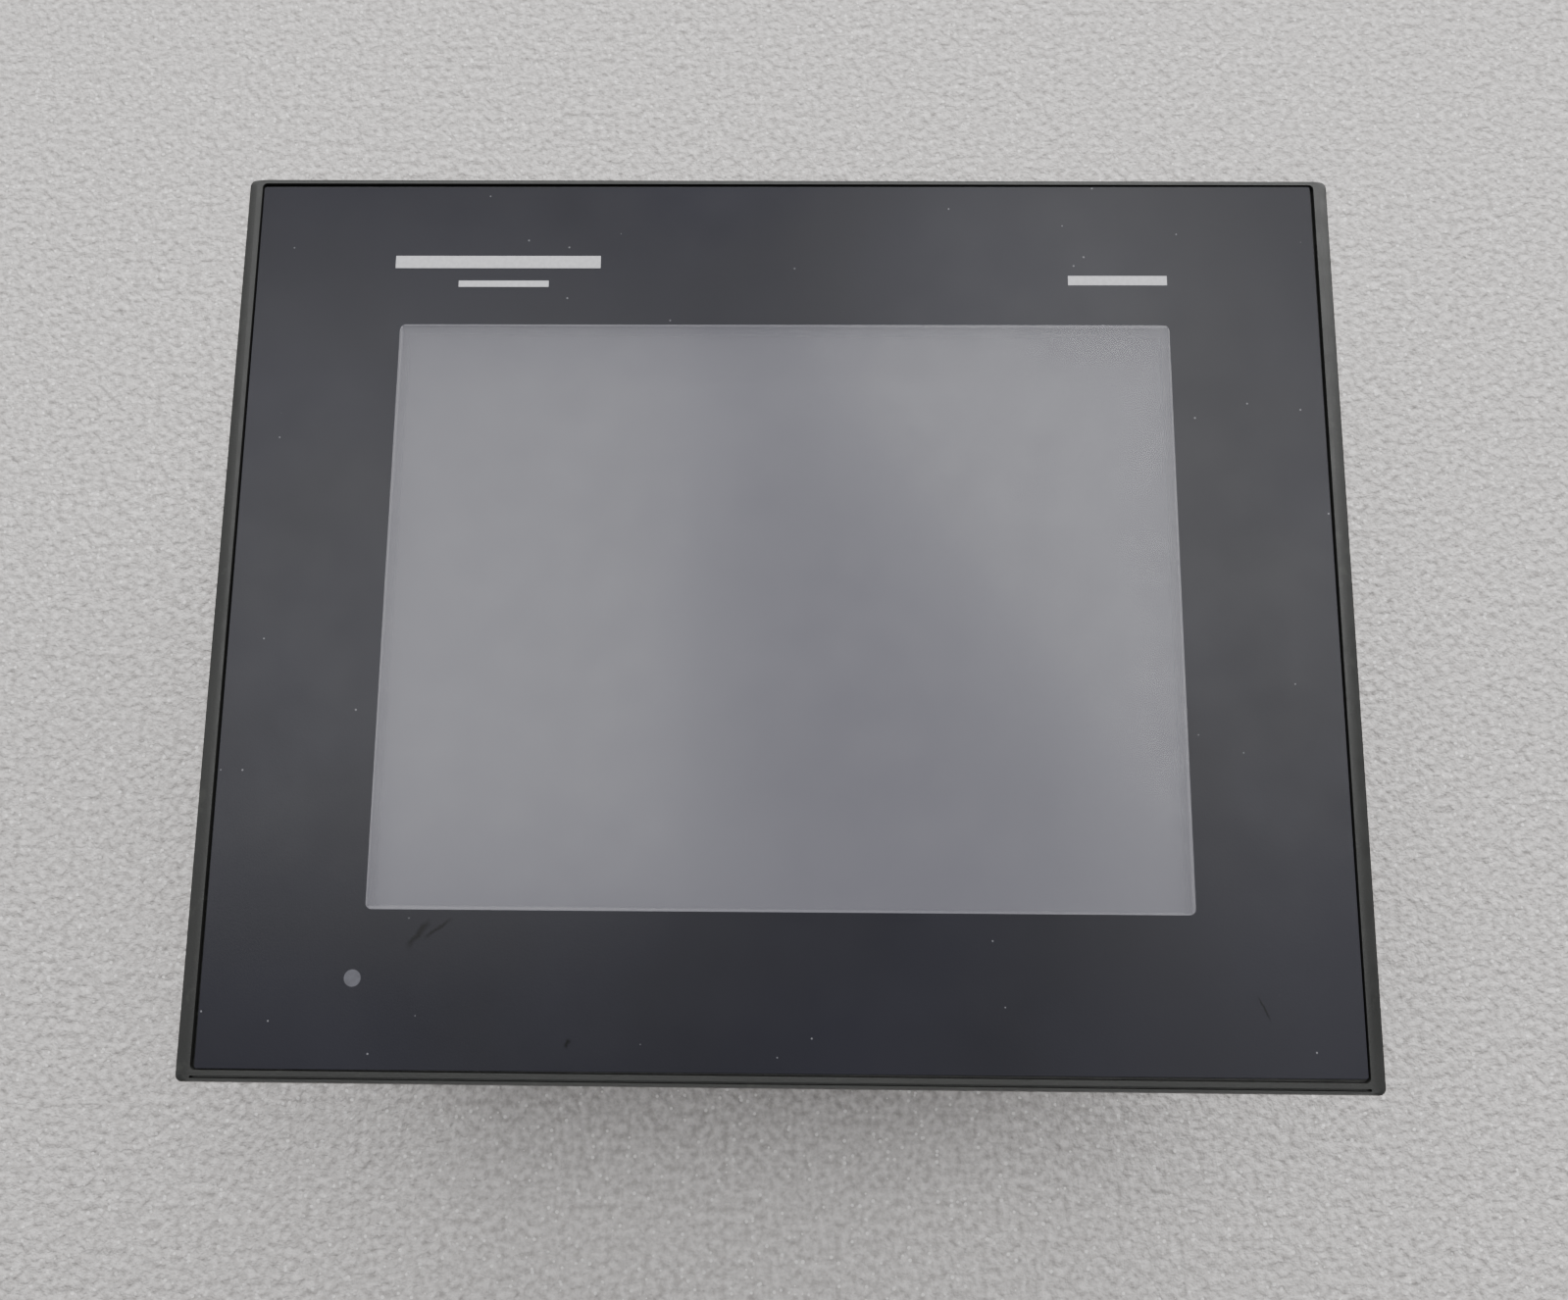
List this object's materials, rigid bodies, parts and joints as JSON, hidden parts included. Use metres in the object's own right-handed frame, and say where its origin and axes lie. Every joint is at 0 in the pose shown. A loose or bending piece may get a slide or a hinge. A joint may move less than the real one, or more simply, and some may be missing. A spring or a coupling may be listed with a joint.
{
  "type": "hmi touch panel",
  "caption": "Flush-mounting operator touch panel: framed touch screen on a deep rear case with connectors facing down.",
  "frame": {"origin": "under the middle of the front's outline, on the plane that the rear case rests on", "axes": "+X right along the screen, +Y towards the screen's upper edge, +Z out of the screen; the panel lies on its back"},
  "size_m": [0.1694, 0.137, 0.0595],
  "materials": {
    "bezel_plastic": "fine moulded, charcoal",
    "printed_film": "fine textured hard-coat film, charcoal border and clear window",
    "gasket_rubber": "moulded black",
    "touch_glass": "clear, coated",
    "display_cell": "grey polariser",
    "backlight_white": "white moulded",
    "plated_steel": "zinc plated",
    "nickel_plate": "nickel plated",
    "flex_film": "amber polyimide",
    "board_laminate": "green solder mask",
    "light_pipe_clear": "clear polycarbonate",
    "housing_plastic": "moulded black",
    "connector_black": "moulded black",
    "terminal_green": "moulded green",
    "chip_epoxy": "black epoxy",
    "anodised_black": "black anodised",
    "capacitor_sleeve": "blue shrink sleeve",
    "ferrite": "sintered grey",
    "label_film": "silver film, blank"
  },
  "bodies": {
    "panel": {"front_bezel": "bezel_plastic", "front_sheet": "printed_film", "panel_gasket": "gasket_rubber", "touch_glass": "touch_glass", "lcd_frame": "plated_steel", "lcd_cell": "display_cell", "lcd_backlight": "backlight_white", "touch_tail": "flex_film", "display_ribbon": "flex_film", "status_light_pipe": "light_pipe_clear", "status_lamp": "backlight_white", "indicator_board": "board_laminate", "display_plate": "plated_steel", "main_board": "board_laminate", "processor": "chip_epoxy", "heat_sink": "anodised_black", "battery_holder": "connector_black", "backup_battery": "nickel_plate", "buzzer": "connector_black", "input_capacitor": "capacitor_sleeve", "power_inductor": "ferrite", "power_header": "connector_black", "usb_host_shell": "nickel_plate", "usb_host_tongue": "connector_black", "usb_tool_shell": "nickel_plate", "usb_tool_tongue": "connector_black", "ethernet_jack": "connector_black", "serial_jack": "connector_black", "serial_port_shell": "nickel_plate", "serial_port_insert": "connector_black", "serial_hexnut_left": "nickel_plate", "serial_hexnut_right": "nickel_plate", "sd_card_socket": "nickel_plate", "rear_housing": "housing_plastic", "rating_plate": "label_film", "display_screw_1": "plated_steel", "board_screw_1": "plated_steel", "board_standoff_1": "nickel_plate", "case_screw_1": "plated_steel", "display_screw_2": "plated_steel", "board_screw_2": "plated_steel", "board_standoff_2": "nickel_plate", "case_screw_2": "plated_steel", "display_screw_3": "plated_steel", "board_screw_3": "plated_steel", "board_standoff_3": "nickel_plate", "case_screw_3": "plated_steel", "display_screw_4": "plated_steel", "board_screw_4": "plated_steel", "board_standoff_4": "nickel_plate", "case_screw_4": "plated_steel"},
    "card_cover": {"sd_card_cover": "housing_plastic"},
    "supply_plug": {"terminal_plug": "terminal_green"},
    "screw_left": {"terminal_screw_1": "plated_steel"},
    "screw_middle": {"terminal_screw_2": "plated_steel"},
    "screw_right": {"terminal_screw_3": "plated_steel"}
  },
  "joints": [
    {"name": "card_cover_hinge", "type": "hinge", "parent": "panel", "child": "card_cover", "pos_m": [0.0762, -0.002, 0.0124], "axis": [0, 1, 0], "range_deg": [0, 90]},
    {"name": "supply_plug_pull", "type": "slide", "parent": "panel", "child": "supply_plug", "axis": [0, -1, 0], "range_m": [0, 0.012]},
    {"name": "screw_left_turn", "type": "hinge", "parent": "supply_plug", "child": "screw_left", "pos_m": [-0.05108, -0.0439, 0.0144], "axis": [0, 0, 1], "continuous": true},
    {"name": "screw_middle_turn", "type": "hinge", "parent": "supply_plug", "child": "screw_middle", "pos_m": [-0.046, -0.0439, 0.0144], "axis": [0, 0, 1], "continuous": true},
    {"name": "screw_right_turn", "type": "hinge", "parent": "supply_plug", "child": "screw_right", "pos_m": [-0.04092, -0.0439, 0.0144], "axis": [0, 0, 1], "continuous": true}
  ]
}
